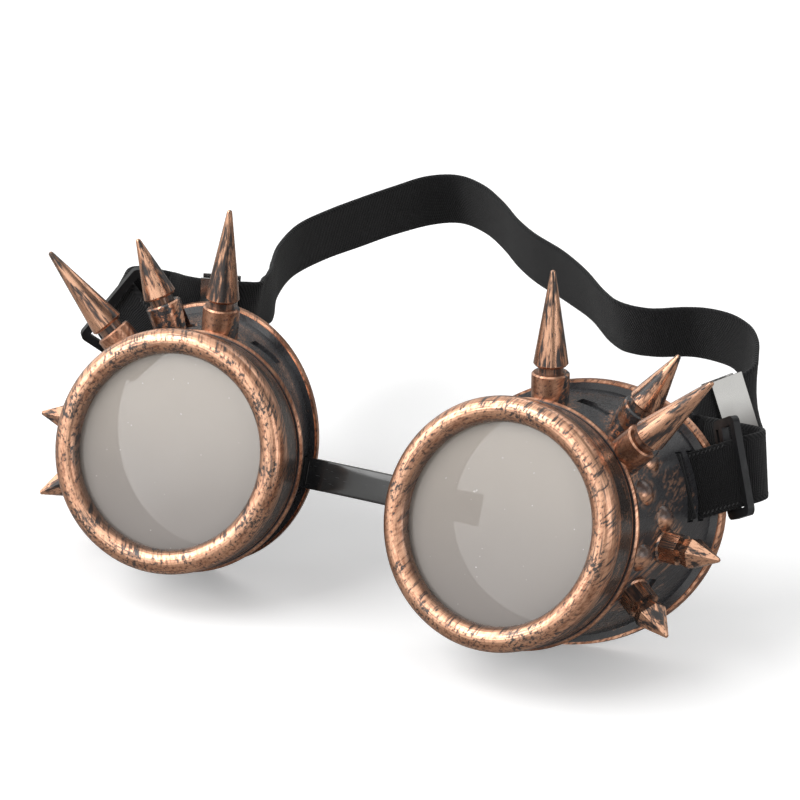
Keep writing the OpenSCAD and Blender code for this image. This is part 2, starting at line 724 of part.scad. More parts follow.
nose_bridge();
head_strap();
left_bridge_tab();
left_cup();
left_tall_spike();
left_short_spike();
left_outer_spike();
left_upper_hex_spike();
left_lower_hex_spike();
left_spike_screws();
left_slot_strap();
left_slider();
left_clip();
left_lens();
left_gasket();
left_ring();
right_bridge_tab();
right_cup();
right_tall_spike();
right_short_spike();
right_outer_spike();
right_upper_hex_spike();
right_lower_hex_spike();
right_spike_screws();
right_slot_strap();
right_slider();
right_clip();
right_lens();
right_gasket();
right_ring();
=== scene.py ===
"""Looks for the spiked round goggles. Sizes are in millimetres, as in the CAD model, and
become metres through MM. A cup point is (temple, up, back) from the middle of that cup's
opening plane. A row point is measured from halfway between those two middles, on the
standing goggles' axes. Side is 1 for the wearer's left and -1 for the right."""
from math import cos, pi, radians, sin, sqrt, tan
import bpy
import bmesh
import numpy as np
from mathutils import Matrix, Vector

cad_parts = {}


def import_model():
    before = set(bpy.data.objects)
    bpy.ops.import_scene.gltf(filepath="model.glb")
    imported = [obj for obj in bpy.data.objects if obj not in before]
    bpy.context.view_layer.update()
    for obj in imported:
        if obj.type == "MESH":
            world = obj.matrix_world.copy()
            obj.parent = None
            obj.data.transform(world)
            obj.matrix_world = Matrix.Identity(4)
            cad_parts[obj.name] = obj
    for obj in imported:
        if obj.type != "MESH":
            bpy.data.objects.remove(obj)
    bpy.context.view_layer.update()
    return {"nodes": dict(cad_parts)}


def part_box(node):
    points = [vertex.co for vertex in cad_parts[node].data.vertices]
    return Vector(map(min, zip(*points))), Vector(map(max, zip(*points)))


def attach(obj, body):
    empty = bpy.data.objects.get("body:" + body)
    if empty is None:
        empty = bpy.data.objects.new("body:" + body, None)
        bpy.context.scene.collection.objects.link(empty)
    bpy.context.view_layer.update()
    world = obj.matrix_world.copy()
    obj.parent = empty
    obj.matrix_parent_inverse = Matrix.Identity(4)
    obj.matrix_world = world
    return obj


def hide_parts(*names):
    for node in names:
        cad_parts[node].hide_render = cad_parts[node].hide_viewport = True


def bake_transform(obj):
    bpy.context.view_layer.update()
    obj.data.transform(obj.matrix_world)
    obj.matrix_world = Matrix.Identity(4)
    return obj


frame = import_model()
MM = 0.001
SIDES = {"left": 1, "right": -1}

# The CAD model's sizes
EYE_GAP, TOE, TILT = 92, radians(4.5), radians(25)
VIEW_R, BEAD_W, BEAD_STEP = 25, 6.5, 0.9
SKIRT, SKIRT_WALL, THREAD_PLAY = 12.2, 2, 0.25
LENS_SET, LENS_T, LENS_PLAY = 1.2, 1.8, 0.05
CUP_WALL, CUP_DEPTH, TEMPLE_DROP, BROW_DROP = 2, 36, 10, 1
FLARE, FLARE_L, FLARE_POWER = 3.5, 33, 1.5
WALL_STEP, LIP_GAP = 0.85, 0.3
LEAN_X, LEAN_Y, RIM_W, RIM_T = radians(6), radians(8), 2.2, 2.4
BOSS_H, HEX_BOSS_H, SPIKE_LEAN = 8.5, 0.9, 18
BRIDGE_H, BRIDGE_T, BRIDGE_Z, BRIDGE_REACH = 8, 2.4, 23.5, 4.2
BRIDGE_BEVEL, BRIDGE_STEPS = 0.35, 20
STRAP_W, STRAP_T, PLAY, SLOT_BAR = 17, 1.3, 0.45, 1.8

# Sizes that follow from them, and radii at which the sloping face plane is measured
BEAD_R = VIEW_R + BEAD_W
SPIGOT_R = BEAD_R - BEAD_STEP - SKIRT_WALL - THREAD_PLAY
CUP_R = SPIGOT_R + WALL_STEP
LIP_Z = SKIRT + LIP_GAP
CAP_R = 34
RIM_A, RIM_B = TEMPLE_DROP / CAP_R, BROW_DROP / CAP_R
SLOT_W = STRAP_T + 2 * PLAY
SLOT_EDGE_R, REAR_EDGE_R = 33.1, 40.2

# Slots: angle and distance in front of the rim. Loop: its bends inside the cup, how far out
# it folds, and the stretch behind the rim with its own angle, gap and length
SLOT_AT = {1: radians(27), -1: radians(39)}
SLOT_DROP, BEND_R, INNER_GAP, FOLD_OUT = 3.9, 1.1, 0.5, 12.4
REAR_AT, REAR_GAP, REAR_L = radians(1), 3.2, {1: 13.8, -1: 7}

# Hexagonal spikes: angle, depth, turn, lean. Studs: angle, depth
HEXES = [(2, 28.5, -3, 9), (-21.5, 23.5, -11, 18)]
STUDS = [(26, 20), (-4, 20), (14, 27), (40, 26), (28, 31.5)]

# The camera that the photograph's two lens outlines give, as row point and directions
SENSOR_W, FOCAL_L = 36, 145.79
CAMERA_AT = (322.108, -642.495, 374.597)
CAMERA_RIGHT = (0.90456, 0.42634, 0)
CAMERA_UP = (-0.18690, 0.39654, 0.89879)
CAMERA_BACK = (0.38319, -0.81302, 0.43837)


def unit(v):
    return v / np.linalg.norm(v)


def cones(side):
    """Angle and depth of the tall, the short and the outer cone."""
    return [(91.5, 18.5), (57 if side > 0 else 63, 25.5), (44, 17.5)]


def wall_r(angle, z):
    """Radius of the cup's wall at an angle and a depth."""
    w = max(0, z - LIP_Z)
    return (CUP_R + FLARE * (w / FLARE_L) ** FLARE_POWER
            + w * (sin(LEAN_X) * cos(angle) + sin(LEAN_Y) * sin(angle)))


def standing(side, p):
    """A cup point as a row point."""
    x = side * (EYE_GAP / 2 + p[0] * cos(TOE) + p[2] * sin(TOE))
    y = p[2] * cos(TOE) - p[0] * sin(TOE)
    return np.array([x, y * cos(TILT) + p[1] * sin(TILT), p[1] * cos(TILT) - y * sin(TILT)])


def turned(side, d):
    """A direction in a cup as a direction in the row."""
    return standing(side, d) - standing(side, (0, 0, 0))


def lens_middle():
    """The row's own origin in metres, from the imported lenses."""
    mids = [sum((Vector(c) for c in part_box(s + "_lens")), Vector()) / 2 for s in SIDES]
    depth = LENS_SET + LENS_PLAY + (LENS_T - LENS_PLAY) / 2
    back = (turned(1, (0, 0, depth)) + turned(-1, (0, 0, depth))) / 2
    return np.array((mids[0] + mids[1]) / 2) - back * MM


MIDDLE = lens_middle()


def world(row_point):
    """A row point in metres, in the shared frame."""
    return MIDDLE + np.array(row_point, float) * MM


def wall_point(side, angle, z):
    """The point of the wall at an angle in degrees and a depth, in metres."""
    a = radians(angle)
    r = wall_r(a, z)
    return world(standing(side, (r * cos(a), r * sin(a), z)))


def make_camera():
    data = bpy.data.cameras.new("camera")
    data.sensor_width, data.lens = SENSOR_W, FOCAL_L
    data.clip_start, data.clip_end = 0.01, 20
    cam = bpy.data.objects.new("camera", data)
    bpy.context.collection.objects.link(cam)
    turn = Matrix((CAMERA_RIGHT, CAMERA_UP, CAMERA_BACK)).transposed()
    cam.matrix_world = Matrix.Translation(Vector(world(CAMERA_AT))) @ turn.to_4x4()
    bpy.context.scene.camera = cam


class Nodes:
    """A node tree under construction; the methods add nodes and return their sockets."""

    def __init__(self, owner):
        owner.use_nodes = True
        self.tree = owner.node_tree
        self.tree.nodes.clear()
        self.place = None

    def node(self, kind, sockets=(), **settings):
        """Adds a node; a colour given as three numbers gets full opacity."""
        n = self.tree.nodes.new("ShaderNode" + kind)
        for k, v in settings.items():
            setattr(n, k, v)
        for k, v in dict(sockets).items():
            if isinstance(v, bpy.types.NodeSocket):
                self.tree.links.new(v, n.inputs[k])
            elif v is not None:
                plain = isinstance(v, tuple) and len(v) < len(n.inputs[k].default_value)
                n.inputs[k].default_value = (*v, 1) if plain else v
        return n

    def math(self, operation, a, b=None):
        given = {i: v for i, v in enumerate((a, b)) if v is not None}
        return self.node("Math", given, operation=operation).outputs[0]

    def add(self, a, b):
        return self.math("ADD", a, b)

    def sub(self, a, b):
        return self.math("SUBTRACT", a, b)

    def mul(self, a, b):
        return self.math("MULTIPLY", a, b)

    def most(self, *values):
        """The largest of the values."""
        got = values[0]
        for v in values[1:]:
            got = self.math("MAXIMUM", got, v)
        return got

    def centred(self, socket, share):
        """A noise value about zero, times a share."""
        return self.mul(self.sub(socket, 0.5), share)

    def step(self, value, low, high, a=0.0, b=1.0):
        """Smooth step from a to b as value goes from low to high."""
        return self.node("MapRange", {0: value, 1: low, 2: high, 3: a, 4: b},
                         interpolation_type="SMOOTHSTEP").outputs[0]

    def band(self, value, low, high, soft):
        """1 between low and high."""
        return self.mul(self.step(value, low - soft, low + soft),
                        self.step(value, high - soft, high + soft, 1.0, 0.0))

    def position(self):
        """Place on the piece at rest, in metres."""
        if self.place is None:
            self.place = self.node("TexCoord").outputs["Object"]
        return self.place

    def along(self, direction, origin):
        """Distance from origin (metres) along a direction, in millimetres."""
        d = np.array(direction, float) / np.linalg.norm(direction) / MM
        dot = self.node("VectorMath", {0: self.position(), 1: tuple(d)},
                        operation="DOT_PRODUCT").outputs["Value"]
        return self.sub(dot, float(np.dot(d, origin)))

    def distance(self, point):
        """Distance from a point, both in metres."""
        return self.node("VectorMath", {0: self.position(), 1: tuple(point)},
                         operation="DISTANCE").outputs["Value"]

    def join(self, x, y, z):
        return self.node("CombineXYZ", {0: x, 1: y, 2: z}).outputs[0]

    def scaled(self, x, y, z, a, b, c):
        """A vector of three values, each times its own factor."""
        return self.join(self.mul(x, a), self.mul(y, b), self.mul(z, c))

    def noise(self, where, scale=1.0, detail=4.0, rough=0.55, w=None):
        sockets = {"Vector": where, "Scale": scale, "Detail": detail, "Roughness": rough}
        if w is not None:
            sockets["W"] = w
        kind = "4D" if w is not None else "3D"
        return self.node("TexNoise", sockets, noise_dimensions=kind).outputs[0]

    def colour(self, factor, a, b):
        """Mixes from colour a to colour b."""
        sockets = {0: factor, 6: a, 7: b}
        return self.node("Mix", sockets, data_type="RGBA", clamp_factor=True).outputs[2]

    def bump(self, height, distance, strength=1.0, normal=None):
        return self.node("Bump", {"Height": height, "Distance": distance,
                                  "Strength": strength, "Normal": normal}).outputs[0]


class Paint(Nodes):
    """A material under construction."""

    def __init__(self, name):
        self.material = bpy.data.materials.new(name)
        super().__init__(self.material)

    def finish(self, **inputs):
        """Ends the material in one Principled shader."""
        named = {k.replace("_", " "): v for k, v in inputs.items()}
        shader = self.node("BsdfPrincipled", named).outputs[0]
        self.node("OutputMaterial", {0: shader})
        return self.material


# Antique copper: black patina under copper that has been brushed bare
COPPER_HIGH = (0.66, 0.375, 0.245)
COPPER_LOW = (0.24, 0.095, 0.052)
RING_PATINA = (0.030, 0.024, 0.022)
SPIKE_PATINA = (0.022, 0.016, 0.015)
CHARCOAL = (0.032, 0.032, 0.035)
LINING = (0.12, 0.13, 0.14)
# The way the brush ran across a cup, and the streaks' fineness along and across it
BRUSH_WAY = (0.30, 0.72, 0.62)
BRUSH_LONG, BRUSH_FINE = 0.075, 1.35


def copper(p, bare, tone, fine, deep, gloss=0.33):
    """bare: 1 where the copper shows, tone: 0 dark to 1 pale copper, fine: streaks."""
    metal = p.colour(tone, COPPER_LOW, COPPER_HIGH)
    base = p.colour(bare, deep, metal)
    rough = p.add(p.step(bare, 0, 1, 0.27, gloss), p.step(fine, 0.3, 0.7, 0.08, -0.06))
    height = p.add(p.mul(bare, 0.2), p.mul(fine, 0.6))
    return p.finish(Base_Color=base, Metallic=p.step(bare, 0, 1, 0.15, 0.95),
                    Roughness=rough, Coat_Weight=0.2, Coat_Roughness=0.25,
                    Normal=p.bump(height, 0.035 * MM, 0.5))


def cup_space(p, side, z=0, axes=((1, 0, 0), (0, 1, 0), (0, 0, 1))):
    """Cup coordinates in millimetres along three axes, from depth z on the cup's axis."""
    origin = world(standing(side, (0, 0, z)))
    return [p.along(turned(side, d), origin) for d in axes]


def from_axis(p, x, y):
    """Distance from the axis that x and y are measured from."""
    return p.math("SQRT", p.add(p.mul(x, x), p.mul(y, y)))


def wiped(p, x, y, z, seed):
    """Hand-brushed streaks: fine lines that all run one way across the cup."""
    way = unit(np.array(BRUSH_WAY))
    flat = unit(np.array([0, -way[2], way[1]]))
    got = []
    for d, k in ((way, BRUSH_LONG), (flat, BRUSH_FINE), (np.cross(way, flat), BRUSH_FINE)):
        got.append(p.add(p.mul(x, d[0] * k), p.add(p.mul(y, d[1] * k), p.mul(z, d[2] * k))))
    return p.noise(p.join(got[0], p.add(got[1], seed), got[2]), 1.0, 4.0, 0.6)


def ring_material(name, side):
    """Copper brushed bare on the bead, in blotches on the skirt and along its edges."""
    p = Paint(name)
    x, y, z = cup_space(p, side)
    r = from_axis(p, x, y)
    ux, uy = p.math("DIVIDE", x, r), p.math("DIVIDE", y, r)
    round_it = p.noise(p.scaled(ux, uy, z, 4.5, 4.5, 0.9), 1.0, 4.0, 0.6, w=p.mul(r, 0.9))
    patches = p.noise(p.scaled(ux, uy, z, 3.2, 3.2, 0.25), 1.0, 2.0, w=3.0 * side)
    brush = wiped(p, x, y, z, 9.0 * side)
    streak = p.add(p.mul(round_it, 0.5), p.mul(brush, 0.5))
    worn = p.add(streak, p.centred(patches, 0.35))
    scratch = p.noise(p.scaled(ux, uy, z, 3.5, 3.5, 2.0), 1.0, 4.0, 0.6,
                      w=p.add(p.mul(r, 2.0), 31.0 * side))
    wear = p.step(patches, 0.30, 0.62, 0.07, -0.045)
    dark = p.most(p.step(p.sub(scratch, wear), 0.33, 0.48, 0.7, 0.0),
                  p.step(p.sub(brush, wear), 0.36, 0.49, 0.95, 0.0))
    bead = p.step(z, 2.3, 3.0, 1.0, 0.0)
    inside = p.step(r, VIEW_R + 0.2, VIEW_R + 1.3, 0.25, 1.0)
    on_bead = p.mul(p.mul(p.step(worn, 0.34, 0.42, 0.05, 1.0), bead), inside)
    on_bead = p.mul(on_bead, p.sub(1.0, dark))
    shoulder = p.mul(p.band(z, 2.6, 3.5, 0.2), p.step(worn, 0.42, 0.5))
    hem = p.mul(p.band(z, 11.3, 12.3, 0.15), p.step(streak, 0.40, 0.5))
    blotch = p.mul(p.band(z, 4.3, 11.3, 0.3), p.step(worn, 0.53, 0.66, 0.0, 0.75))
    bare = p.most(on_bead, shoulder, hem, blotch)
    tone = p.mul(p.step(streak, 0.36, 0.60, 0.15, 1.0), p.add(p.mul(bead, 0.6), 0.4))
    return copper(p, bare, tone, streak, RING_PATINA)


def spike_material(name, side, angle, z, lean, turn, seed, facets):
    """Copper brushed lengthwise, dark at the neck and in broad bands along the spike, which are
    partly worn patina and partly painted reflection.
    """
    p = Paint(name)
    lean_r, way = radians(lean), radians(angle + turn)
    axis = turned(side, (cos(lean_r) * cos(way), cos(lean_r) * sin(way), -sin(lean_r)))
    across = np.cross(axis, turned(side, (0, 0, 1)))
    other = np.cross(axis, across)
    origin = wall_point(side, angle, z)
    t = p.sub(p.along(axis, origin), HEX_BOSS_H if facets else BOSS_H)
    e, f = p.along(across, origin), p.along(other, origin)
    # the broad lengthwise bands are partly worn patina and partly painted reflection
    bands = p.noise(p.join(p.mul(t, 0.05), p.mul(e, 0.42), p.add(p.mul(f, 0.42), seed)),
                    1.0, 2.0, 0.5)
    fine = p.noise(p.join(p.mul(t, 0.08), p.mul(e, 2.0), p.add(p.mul(f, 2.0), seed)),
                   1.0, 4.0, 0.6)
    worn = p.add(p.mul(bands, 0.6), p.mul(fine, 0.4))
    bare = p.mul(p.step(worn, 0.42, 0.53), p.step(fine, 0.34, 0.44, 0.15, 1.0))
    if not facets:
        bare = p.mul(bare, p.step(t, 1.5, 2.3, 0.35, 1.0))
        bare = p.most(bare, p.mul(p.band(t, 1.7, 2.5, 0.15), 0.8))
    tone = p.step(p.add(worn, p.mul(t, 0.004)), 0.42, 0.62, 0.15, 1.0)
    return copper(p, bare, tone, fine, SPIKE_PATINA, 0.25)


def above_wall(p, side):
    """Height above the flared wall, whose axis leans to the temple and the brow."""
    cx, sx, cy, sy = cos(LEAN_X), sin(LEAN_X), cos(LEAN_Y), sin(LEAN_Y)
    axes = ((cx, 0, -sx), (-sx * sy, cy, -cx * sy), (sx * cy, sy, cx * cy))
    x, y, z = cup_space(p, side, LIP_Z, axes)
    flare = p.mul(p.math("POWER", p.mul(p.most(z, 0.0), 1 / FLARE_L), FLARE_POWER), FLARE)
    return p.sub(p.sub(from_axis(p, x, y), CUP_R), flare)


def stud_marks(p, side, y, h):
    """Masks: the domes, with painted light making their lower halves paler, and the wall close to
    them.
    """
    domes, near = 0.0, 0.0
    for angle, depth in STUDS:
        gap = p.distance(wall_point(side, angle, depth))
        middle_y = wall_r(radians(angle), depth) * sin(radians(angle))
        # painted light: the copper on each dome is held mostly to its lower half, so that half
        # reads paler
        lower = p.step(p.sub(y, middle_y), -0.6, 0.9, 1.0, 0.0)
        dome = p.mul(p.step(gap, 3.5 * MM, 3.9 * MM, 1.0, 0.0), p.step(h, 0.15, 0.5))
        domes = p.most(p.mul(dome, p.add(p.mul(lower, 0.85), 0.15)), domes)
        near = p.most(p.step(gap, 3.6 * MM, 5.2 * MM, 0.35, 0.0), near)
    return domes, near


def cup_material(name, side):
    """Charcoal shell with the copper brushed bare on lip, rim, bosses and studs, the studs' lower
    halves painted paler as painted light.
    """
    p = Paint(name)
    x, y, z = cup_space(p, side)
    h = above_wall(p, side)
    r = from_axis(p, x, y)
    rim = p.sub(p.sub(z, CUP_DEPTH), p.add(p.mul(x, RIM_A), p.mul(y, RIM_B)))
    streak = wiped(p, x, y, z, 5.0 * side)
    patches = p.noise(p.join(x, y, z), 0.11, 3.0, 0.6)
    worn = p.add(p.mul(streak, 0.6), p.mul(patches, 0.4))
    studs, near = stud_marks(p, side, y, h)
    for spike in cones(side) + HEXES:
        gap = p.distance(wall_point(side, spike[0], spike[1]))
        near = p.most(p.step(gap, 5.0 * MM, 8.5 * MM, 0.85, 0.0), near)
    bosses = p.mul(p.step(h, 0.35, 0.8), p.step(z, LIP_Z + 2.2, LIP_Z + 2.6))
    bosses = p.mul(bosses, p.step(rim, -RIM_T - 0.5, -RIM_T - 0.2, 1.0, 0.0))
    bosses = p.mul(bosses, p.step(studs, 0.05, 0.1, 1.0, 0.0))
    boss_tone = p.add(p.mul(p.noise(p.scaled(x, y, z, 0.5, 0.5, 0.5), 0.8, 3.0), 0.6),
                      p.mul(streak, 0.4))
    on_boss = p.mul(bosses, p.step(boss_tone, 0.475, 0.545))
    # copper on the studs: brushed streaks of wear, lying mostly on their lower halves as painted
    # light
    on_stud = p.mul(studs, p.step(streak, 0.36, 0.46, 0.3, 1.0))
    wall = p.band(h, -0.5, 0.6, 0.1)
    on_wall = p.mul(p.mul(near, p.step(streak, 0.47, 0.58)), wall)
    scuff = p.mul(p.step(worn, 0.60, 0.68, 0.0, 0.3), wall)
    lip = p.mul(p.step(r, BEAD_R - 0.75, BEAD_R - 0.3),
                p.step(z, LIP_Z + 2.2, LIP_Z + 2.5, 1.0, 0.0))
    on_lip = p.mul(lip, p.step(streak, 0.32, 0.42, 0.2, 1.0))
    flange = p.mul(p.step(rim, -RIM_T - 0.1, -RIM_T + 0.2), p.step(h, 0.5, 1.0))
    on_rim = p.mul(p.mul(flange, p.step(streak, 0.35, 0.45, 0.1, 1.0)),
                   p.step(h, 1.2, 1.7, 0.25, 1.0))
    bare = p.most(on_boss, on_stud, on_wall, scuff, on_lip, on_rim)
    bare = p.mul(bare, p.step(h, -0.9, -0.5))
    tone = p.most(p.step(worn, 0.4, 0.62, 0.1, 0.85),
                  p.mul(on_stud, p.step(streak, 0.4, 0.6, 0.5, 1.0)))
    spigot = p.mul(p.step(r, VIEW_R + 1.4, VIEW_R + 1.9), p.step(z, LIP_Z, LIP_Z + 0.4, 1.0, 0.0))
    deep = p.colour(p.most(p.step(h, -1.3, -0.9), spigot), LINING, CHARCOAL)
    return copper(p, bare, tone, streak, deep)


# How far apart the webbing's lengthwise threads and the selvedge's crossings lie
ROW_STEP, HEM_STEP = 0.62, 1.1


def webbing_material(name, rib, slant, edge):
    """Black elastic: s runs along the strap and v across it, both in millimetres."""
    p = Paint(name)
    at = p.node("Attribute", attribute_name="weave").outputs["Vector"]
    s, v, _ = p.node("SeparateXYZ", {0: at}).outputs
    s2 = p.add(s, p.mul(v, slant))
    ribs = p.math("SINE", p.mul(s2, 2 * pi / rib))
    rows = p.math("SINE", p.mul(v, 2 * pi / ROW_STEP))
    knit = p.mul(ribs, p.add(p.mul(rows, 0.35), 0.65))
    selvedge = p.step(p.math("ABSOLUTE", v), STRAP_W / 2 - edge - 0.2, STRAP_W / 2 - edge + 0.2)
    hem = p.math("SINE", p.mul(p.add(s, p.mul(v, 0.9)), 2 * pi / HEM_STEP))
    weave = p.add(p.mul(knit, p.step(selvedge, 0, 1, 1.0, 0.0)), p.mul(hem, p.mul(selvedge, 0.5)))
    fuzz = p.noise(p.join(p.mul(s, 2.4), p.mul(v, 3.5), 0.0), 1.0, 4.0, 0.7)
    # painted shade and highlight: the colour is darker in the weave's grooves and paler on its
    # crests, following the same weave as the bump; the fuzz adds random tone of the fibres
    light = p.add(p.step(weave, -1.0, 1.0, 0.0, 0.7), p.centred(fuzz, 0.9))
    base = p.colour(light, (0.0030, 0.0031, 0.0034), (0.020, 0.020, 0.0215))
    height = p.add(weave, p.mul(fuzz, 0.8))
    return p.finish(Base_Color=base, Roughness=p.step(fuzz, 0.3, 0.7, 0.78, 0.95),
                    Sheen_Weight=0.06, Sheen_Roughness=0.4, Specular_IOR_Level=0.25,
                    Normal=p.bump(height, 0.16 * MM, 0.9))


def pvc_material(name):
    """Glossy black PVC with moulding haze and fine scratches."""
    p = Paint(name)
    at = p.position()
    haze = p.noise(at, 90.0, 3.0)
    thin = p.noise(p.node("Mapping", {"Vector": at, "Rotation": (0.3, 0.5, 0.7),
                                      "Scale": (260, 4200, 4200)}).outputs[0], 1.0, 2.0)
    scratch = p.step(thin, 0.68, 0.72)
    base = p.colour(p.add(p.mul(haze, 0.35), p.mul(scratch, 0.45)),
                    (0.006, 0.0062, 0.0066), (0.05, 0.051, 0.054))
    return p.finish(Base_Color=base, Roughness=p.add(p.step(haze, 0.35, 0.65, 0.14, 0.26),
                                                     p.mul(scratch, 0.2)),
                    Coat_Weight=0.3, Coat_Roughness=0.08,
                    Normal=p.bump(p.add(haze, p.mul(scratch, -0.2)), 0.08 * MM, 0.35))


def plastic_material(name):
    """Satin black moulded plastic, a little dusty and rubbed."""
    p = Paint(name)
    grain = p.noise(p.position(), 2600.0, 3.0, 0.6)
    rubbed = p.noise(p.position(), 170.0, 3.0, 0.6)
    base = p.colour(p.add(p.mul(grain, 0.25), p.step(rubbed, 0.5, 0.75, 0.0, 0.5)),
                    (0.006, 0.0063, 0.007), (0.034, 0.035, 0.039))
    return p.finish(Base_Color=base, Specular_IOR_Level=0.3,
                    Roughness=p.step(rubbed, 0.35, 0.7, 0.48, 0.38),
                    Normal=p.bump(grain, 0.03 * MM, 0.4))


def nickel_material(name, middle, across):
    """Polished nickel sheet, darker along its lower edge as a painted reflection of the dark
    webbing.
    """
    p = Paint(name)
    at = p.position()
    grain = p.noise(p.node("Mapping", {"Vector": at, "Scale": (300, 2400, 300)}).outputs[0],
                    1.0, 3.0)
    haze = p.noise(at, 70.0, 2.0, 0.5)
    # painted reflection: the colour darkens towards the sheet's lower edge, measured across the
    # strap from the clip's place on the route
    up = p.add(p.along(across, world(middle)), p.centred(haze, 9.0))
    base = p.colour(p.step(up, -7.5, 5.5), (0.22, 0.21, 0.205), (0.80, 0.79, 0.775))
    return p.finish(Base_Color=base, Metallic=1.0,
                    Roughness=p.add(p.step(haze, 0.3, 0.7, 0.14, 0.20), p.mul(grain, 0.05)),
                    Normal=p.bump(haze, 0.6 * MM, 0.4, p.bump(grain, 0.01 * MM, 0.3)))


def steel_material(name):
    """Slightly hazed steel of the screws inside the cups."""
    p = Paint(name)
    haze = p.noise(p.position(), 700.0, 4.0, 0.6)
    base = p.colour(haze, (0.32, 0.32, 0.33), (0.60, 0.60, 0.61))
    return p.finish(Base_Color=base, Metallic=1.0, Roughness=p.step(haze, 0.3, 0.7, 0.28, 0.45),
                    Normal=p.bump(haze, 0.02 * MM, 0.4))


def rubber_material(name):
    """Matt black rubber of the gaskets, a little dusty."""
    p = Paint(name)
    dust = p.noise(p.position(), 900.0, 5.0, 0.65)
    base = p.colour(dust, (0.008, 0.008, 0.008), (0.035, 0.034, 0.033))
    return p.finish(Base_Color=base, Roughness=p.step(dust, 0.3, 0.7, 0.55, 0.8),
                    Normal=p.bump(dust, 0.05 * MM, 0.4))


def lens_material(name, side):
    """Smoke lens: a milky film that half hides the cup behind, made paler towards the top by
    painted light.
    """
    p = Paint(name)
    film = p.noise(p.position(), 26.0, 2.0, 0.5)
    specks = p.noise(p.position(), 900.0, 1.0, 0.4)
    dust = p.step(specks, 0.79, 0.81)
    # painted light: the smoke colour grows paler towards the top of the cup, with a wavering film
    up = p.add(cup_space(p, side)[1], p.centred(film, 12.0))
    base = p.colour(p.step(up, -26, 26), (0.295, 0.265, 0.245), (0.455, 0.405, 0.355))
    base = p.colour(p.mul(dust, 0.6), base, (0.6, 0.58, 0.56))
    return p.finish(Base_Color=base, Roughness=p.step(film, 0.35, 0.65, 0.05, 0.09),
                    Alpha=p.add(0.68, p.mul(dust, 0.2)), Coat_Weight=0.4, Coat_Roughness=0.03,
                    Normal=p.bump(film, 0.02 * MM, 0.2))


def thread_material(name):
    """Black sewing thread."""
    p = Paint(name)
    twist = p.noise(p.position(), 3000.0, 3.0)
    base = p.colour(twist, (0.006, 0.006, 0.007), (0.030, 0.030, 0.032))
    return p.finish(Base_Color=base, Roughness=0.7, Sheen_Weight=0.2,
                    Normal=p.bump(twist, 0.05 * MM, 0.6))


def dress(node, material):
    """Gives a CAD node's own shape this material."""
    for slot in frame["nodes"][node].material_slots:
        slot.link = "OBJECT"
        slot.material = material


# The strap's route behind the cups: row point, then its sideways and backward lean
RUN = [
    (-73, 57.8, 12, 0, 0.2), (-68.6, 58.6, 11.9, 0, 0.1), (-65.9, 59.5, 11.8, 0, 0.1),
    (-63.1, 60.45, 11.7, 0, 0.1), (-60.3, 61.4, 11.6, 0, 0.1), (-57.6, 62.3, 11.5, 0.02, 0.08),
    (-56, 66.5, 10.6, 0.2, -0.15), (-57.2, 72, 9.6, 0.25, -0.25),
    (-58.4, 77.5, 8.7, 0.2, -0.25), (-60, 83.5, 7.4, 0.1, -0.15), (-62.5, 90, 6, 0.05, -0.05),
    (-68, 104, 5, 0.1, 0), (-70, 119, 5, 0.15, 0),
    (-67, 133, 5, 0.15, -0.1), (-62, 146, 5, 0.1, -0.15), (-57, 158, 5, 0.1, -0.15),
    (-51, 169, 5, 0, -0.2), (-43, 174, 5, 0, -0.2), (-33, 170, 5, 0, -0.2),
    (-23, 161, 5, 0, -0.2), (-14, 151, 5, 0, -0.2), (-5, 143, 5, 0, -0.2),
    (7, 135, 5, 0, -0.2), (18, 126, 5, -0.1, -0.2), (28, 115, 5, -0.1, -0.2),
    (36, 108, 6, -0.1, -0.25), (44, 108, 6, 0, -0.3), (54, 113, 6, 0, -0.25),
    (65, 110.5, 7, -0.05, -0.15), (71.5, 106, 6.5, 0.05, -0.05), (75.6, 99.5, 6, 0.1, 0),
    (78.6, 92, 5.2, 0.05, 0.05), (81, 86.3, 4.4, -0.15, 0.12),
    (81.5, 81.2, 3.8, -0.4, 0.2), (80.1, 78.6, 3.65, -0.42, 0.2), (78.6, 76, 3.5, -0.42, 0.2),
    (77.1, 73.4, 3.35, -0.42, 0.2), (75.7, 70.8, 3.2, -0.41, 0.2),
    (74.2, 66.5, 2.9, -0.33, 0.25), (73.5, 62, 2.5, -0.18, 0.3), (74.6, 56.6, 2, -0.05, 0.35)]

# Where a clip sits on the route, as an index, and the steps from one route point to the next
CLIP_AT = {1: 35, -1: 3}
ROUTE_STEPS = 6

# The head strap's pieces with the bodies they follow, from the wearer's right to the left,
# and the frames where one piece ends and the next begins. Frame 7 + 6 k lies at RUN[k], and
# the clips sit on the outermost pieces
STRAP_PIECES = [
    ("strap_right_end", ("right_cup_group",)),
    ("strap_right_slide", ("right_cup_group", "right_tab")),
    ("strap_right_bend", ("right_tab", "nose_band")),
    ("strap_rear", ("nose_band",)),
    ("strap_left_bend", ("nose_band", "left_tab")),
    ("strap_left_slide", ("left_tab", "left_cup_group")),
    ("strap_left_end", ("left_cup_group",))]
STRAP_CUTS = (37, 55, 100, 106, 193, 205)

# Loop: how far outside the wall it starts, where its front runs straight, points on a bend
# and steps round the fold
LOOP_START, LOOP_FRONT = 0.3, (2, 7)
BEND_POINTS, FOLD_STEPS = 9, 24


def upright(route_point):
    """Direction across the webbing at a route point."""
    x, y = route_point[3:]
    return np.array([x, y, sqrt(1 - x ** 2 - y ** 2)])


def by_slot(side, p):
    """A point (outwards, upwards across the slot, back) at the strap slots as a row point."""
    a = SLOT_AT[side]
    return standing(side, (p[0] * cos(a) - p[1] * sin(a), p[0] * sin(a) + p[1] * cos(a), p[2]))


def slot_dir(side, d):
    return by_slot(side, d) - by_slot(side, (0, 0, 0))


def rim_at(side, r):
    """Depth of the face plane at the slots' angle and a radius."""
    return CUP_DEPTH + RIM_A * r * cos(SLOT_AT[side]) + RIM_B * r * sin(SLOT_AT[side])


